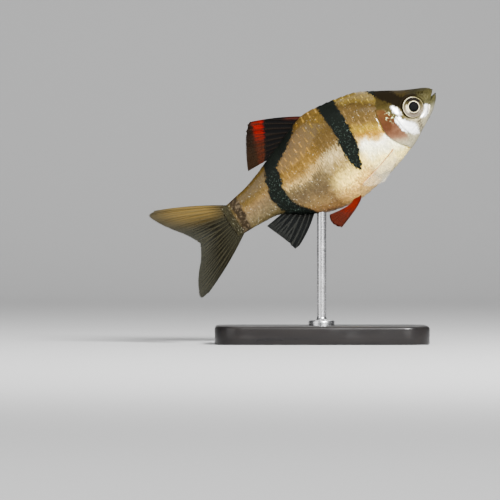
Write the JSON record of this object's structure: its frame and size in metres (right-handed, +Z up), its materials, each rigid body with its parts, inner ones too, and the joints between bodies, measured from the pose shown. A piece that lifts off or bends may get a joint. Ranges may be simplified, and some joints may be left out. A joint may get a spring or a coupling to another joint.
{
  "type": "fish model",
  "caption": "Life-size museum model of a tiger barb swimming nose up, with banded sides and spread fins, held over a flat display base by a short rod.",
  "frame": {"origin": "middle of the flat underside of the display base", "axes": "+X the way the fish faces, +Y to the fish's left, +Z up; the fish's body axis rises towards +X"},
  "size_m": [0.0619, 0.031, 0.0552],
  "materials": {
    "skin": "scaled skin, golden olive above and cream silver below, with black bands flecked green",
    "cheek": "bright silver gill cover with a red-brown rear edge",
    "eye": "wet eye with a black pupil in a silver ring",
    "dark_fin": "black fin with a red band near its margin and a clear dark edge",
    "red_fin": "orange-red fin with a dark front edge",
    "clear_fin": "translucent olive-grey fin with fine rays",
    "base": "satin black plate",
    "rod": "turned steel"
  },
  "bodies": {
    "root": {"head": "skin", "trunk": "skin", "tail_stalk": "skin", "barbel_left": "skin", "barbel_right": "skin", "gill_cover_left": "cheek", "gill_cover_right": "cheek", "eye_left": "eye", "eye_right": "eye", "dorsal_fin": "dark_fin", "pelvic_fin_left": "red_fin", "pelvic_fin_right": "red_fin", "anal_fin": "clear_fin", "tail_fin_upper": "clear_fin", "tail_fin_lower": "clear_fin", "pectoral_fin_left": "clear_fin", "pectoral_fin_right": "clear_fin", "stand_base": "base", "stand_rod": "rod"}
  },
  "joints": []
}
